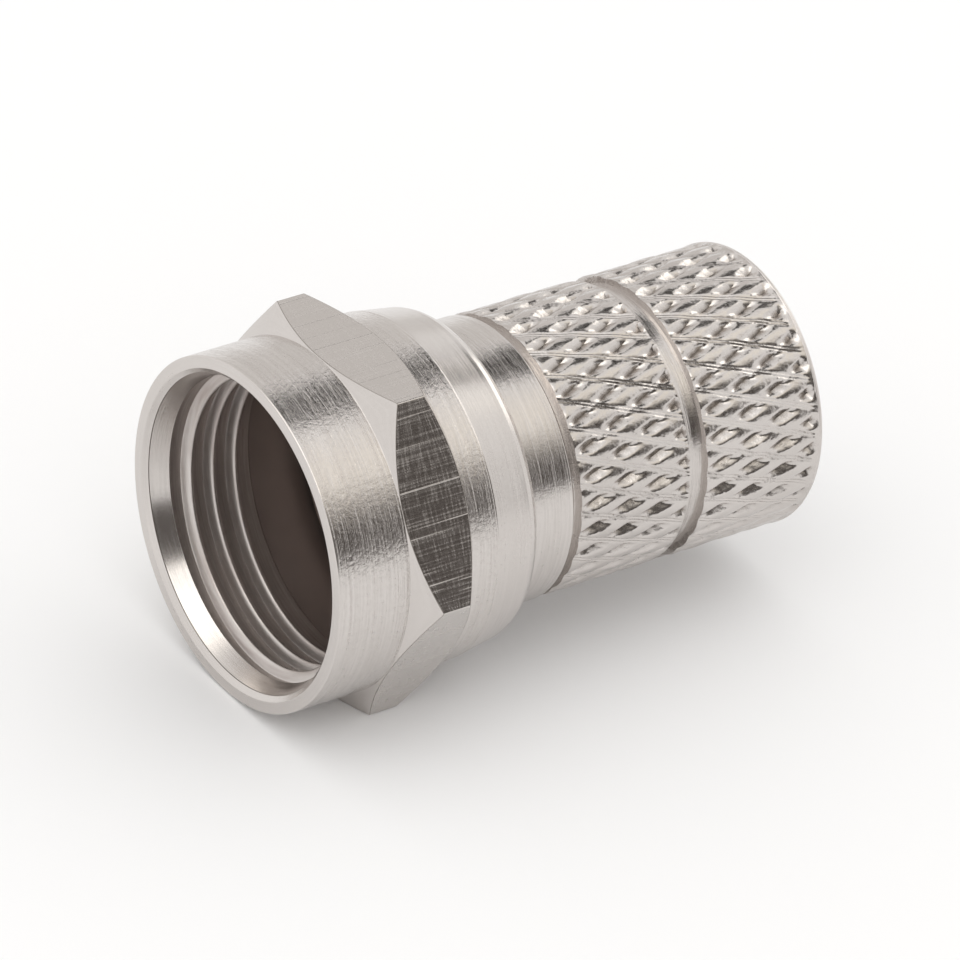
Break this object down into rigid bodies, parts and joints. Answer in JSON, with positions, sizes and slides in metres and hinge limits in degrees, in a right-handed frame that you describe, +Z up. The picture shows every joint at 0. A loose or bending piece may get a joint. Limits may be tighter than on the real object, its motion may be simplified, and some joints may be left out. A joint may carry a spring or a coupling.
{
  "type": "f connector",
  "caption": "Twist-on coaxial plug: a hexagon coupling nut with a threaded mouth swivels on a knurled sleeve that screws onto the cable.",
  "frame": {"origin": "centre of the coupling nut's mouth, in the plane of its front face", "axes": "+X along the common axis, from the mouth to the cable end; +Z up, square to the hexagon flat that the nut lies on"},
  "size_m": [0.0183, 0.0128, 0.011],
  "materials": {
    "nut_nickel": "nickel plated, fine turned grain",
    "body_nickel": "nickel plated, knurled"
  },
  "bodies": {
    "body": {"body": "body_nickel"},
    "nut": {"coupling_nut": "nut_nickel"}
  },
  "joints": [
    {"name": "nut_swivel", "type": "hinge", "parent": "body", "child": "nut", "pos_m": [0.0069, 0, 0], "axis": [1, 0, 0], "continuous": true}
  ]
}
